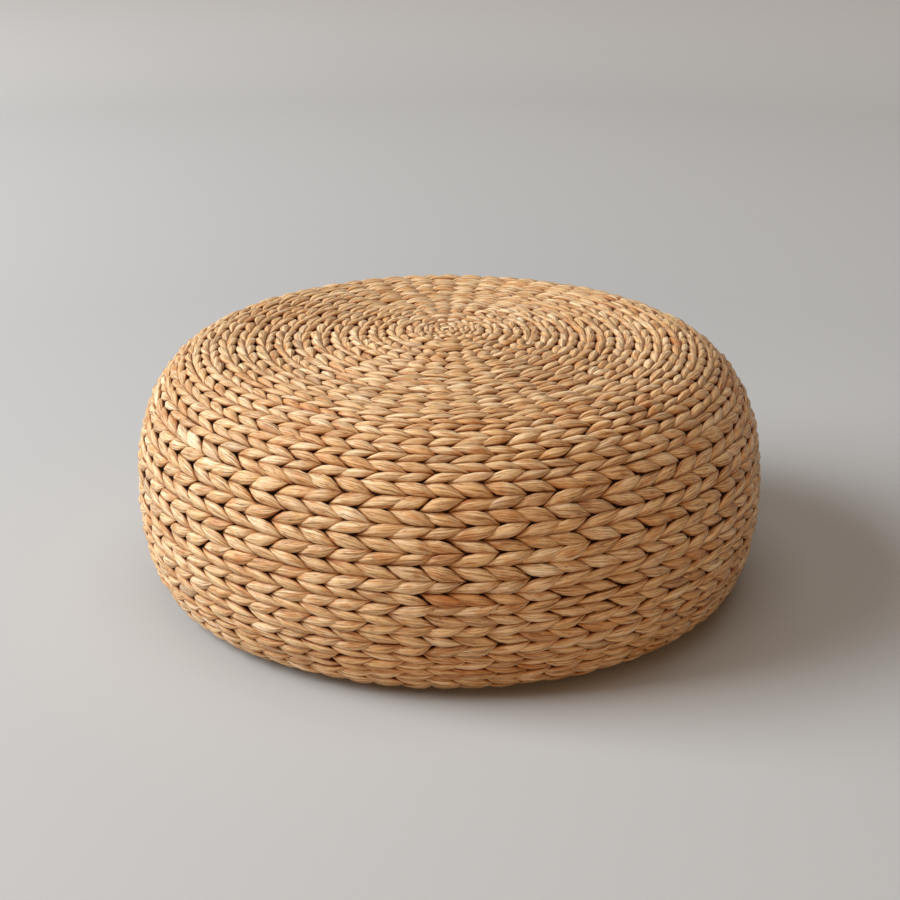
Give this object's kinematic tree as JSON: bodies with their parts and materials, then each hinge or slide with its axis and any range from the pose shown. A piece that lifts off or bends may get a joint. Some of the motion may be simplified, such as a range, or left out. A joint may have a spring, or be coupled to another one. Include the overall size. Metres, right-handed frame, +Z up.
{
  "type": "woven stool",
  "caption": "Low round woven seat: twined plant-fibre rounds over a bent steel rod frame, open underneath, standing on small rubber feet.",
  "frame": {"origin": "on the floor, at the centre of the stool's outline", "axes": "+Z up along the stool's axis; X runs along the whole base bar"},
  "size_m": [0.6, 0.6, 0.246],
  "materials": {
    "weave": "twined water hyacinth leaf, dry and matt, pale straw to tan with orange and grey-brown streaks along the fibre",
    "weave_border": "plaited water hyacinth border under the base",
    "frame": "black powder coat on steel rod, flat bar and plate",
    "feet": "black moulded rubber"
  },
  "bodies": {
    "root": {"weave_round_01": "weave", "weave_round_02": "weave", "weave_round_03": "weave", "weave_round_04": "weave", "weave_round_05": "weave", "weave_round_06": "weave", "weave_round_07": "weave", "weave_round_08": "weave", "weave_round_09": "weave", "weave_round_10": "weave", "weave_round_11": "weave", "weave_round_12": "weave", "weave_round_13": "weave", "weave_round_14": "weave", "weave_round_15": "weave", "weave_round_16": "weave", "weave_round_17": "weave", "weave_round_18": "weave", "weave_round_19": "weave", "weave_round_20": "weave", "weave_round_21": "weave", "weave_round_22": "weave", "weave_round_23": "weave", "weave_round_24": "weave", "weave_round_25": "weave", "weave_round_26": "weave", "weave_round_27": "weave", "weave_whorl": "weave", "weave_border": "weave_border", "rib_1": "frame", "rib_2": "frame", "rib_3": "frame", "rib_4": "frame", "rib_5": "frame", "rib_6": "frame", "rib_7": "frame", "rib_8": "frame", "crown_ring": "frame", "shoulder_ring": "frame", "belly_ring": "frame", "base_ring": "frame", "hub_plate": "frame", "base_bar": "frame", "half_bar_back": "frame", "half_bar_front": "frame", "foot_1": "feet", "foot_2": "feet", "foot_3": "feet", "foot_4": "feet"}
  },
  "joints": []
}
